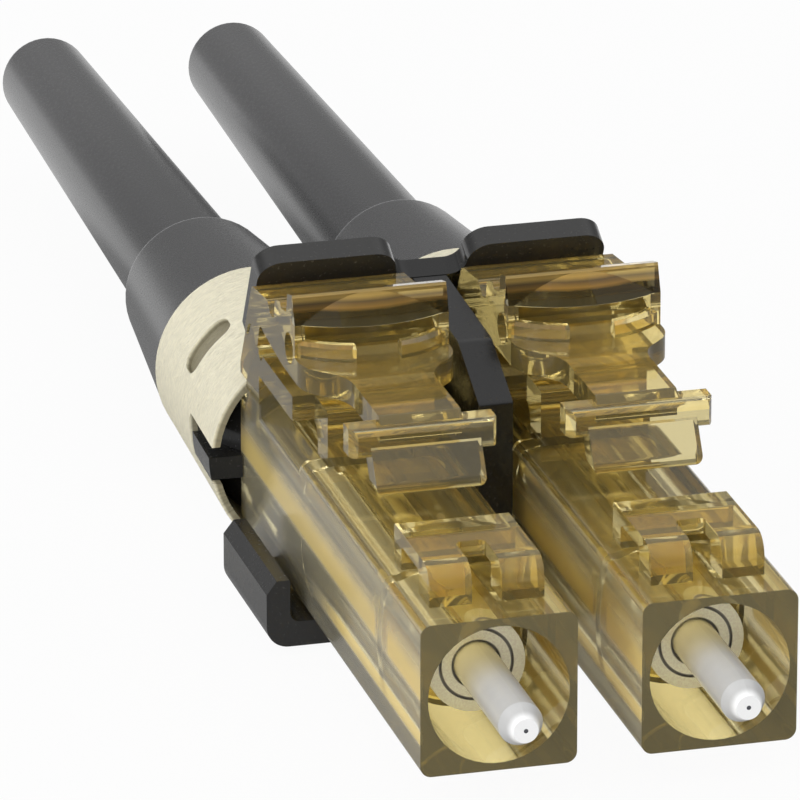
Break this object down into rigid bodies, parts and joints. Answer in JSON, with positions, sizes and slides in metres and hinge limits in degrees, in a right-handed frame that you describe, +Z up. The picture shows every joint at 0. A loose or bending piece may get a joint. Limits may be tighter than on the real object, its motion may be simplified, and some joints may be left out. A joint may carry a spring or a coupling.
{
  "type": "duplex lc fibre plug",
  "caption": "Duplex fibre optic plug: amber housings with thumb levers, white ferrules, metal sleeves, tapered black boots and a black clip joining both.",
  "frame": {"origin": "middle of the underside of the part's box", "axes": "+Z up, +Y from the ferrule tips to the boots, the two plugs side by side along X at -3.125 mm and +3.125 mm"},
  "size_m": [0.0132, 0.0576, 0.0102],
  "materials": {
    "amber_plastic": "clear amber moulding, smooth",
    "white_ceramic": "polished zirconia",
    "grey_metal": "fine turned nickel plate",
    "glass_fibre": "polished end face",
    "white_plastic": "smooth tube",
    "spring_steel": "drawn wire",
    "black_plastic": "plain moulding",
    "pale_metal": "rough brushed pale gold plate",
    "black_rubber": "soft satin elastomer",
    "clip_plastic": "satin moulding"
  },
  "bodies": {
    "plug": {"left_housing": "amber_plastic", "left_rear_body": "black_plastic", "left_metal_sleeve": "pale_metal", "left_boot": "black_rubber", "left_ferrule_spring": "spring_steel", "right_housing": "amber_plastic", "right_rear_body": "black_plastic", "right_metal_sleeve": "pale_metal", "right_boot": "black_rubber", "right_ferrule_spring": "spring_steel", "duplex_clip": "clip_plastic"},
    "left_latch": {"left_latch_lever": "amber_plastic"},
    "left_ferrule_set": {"left_ferrule": "white_ceramic", "left_ferrule_flange": "grey_metal", "left_fibre_stub": "glass_fibre", "left_inner_tube": "white_plastic"},
    "right_latch": {"right_latch_lever": "amber_plastic"},
    "right_ferrule_set": {"right_ferrule": "white_ceramic", "right_ferrule_flange": "grey_metal", "right_fibre_stub": "glass_fibre", "right_inner_tube": "white_plastic"}
  },
  "joints": [
    {"name": "left_latch_press", "type": "hinge", "parent": "plug", "child": "left_latch", "pos_m": [-0.00313, -0.00775, 0.00721], "axis": [1, 0, 0], "range_deg": [0, 4.5], "stiffness_Nm_per_rad": 0.02},
    {"name": "left_ferrule_push", "type": "slide", "parent": "plug", "child": "left_ferrule_set", "axis": [0, 1, 0], "range_m": [0, 0.0008], "stiffness_N_per_m": 500, "deforming": ["left_ferrule_spring"]},
    {"name": "right_latch_press", "type": "hinge", "parent": "plug", "child": "right_latch", "pos_m": [0.00313, -0.00775, 0.00721], "axis": [1, 0, 0], "range_deg": [0, 4.5], "stiffness_Nm_per_rad": 0.02},
    {"name": "right_ferrule_push", "type": "slide", "parent": "plug", "child": "right_ferrule_set", "axis": [0, 1, 0], "range_m": [0, 0.0008], "stiffness_N_per_m": 500, "deforming": ["right_ferrule_spring"]}
  ]
}
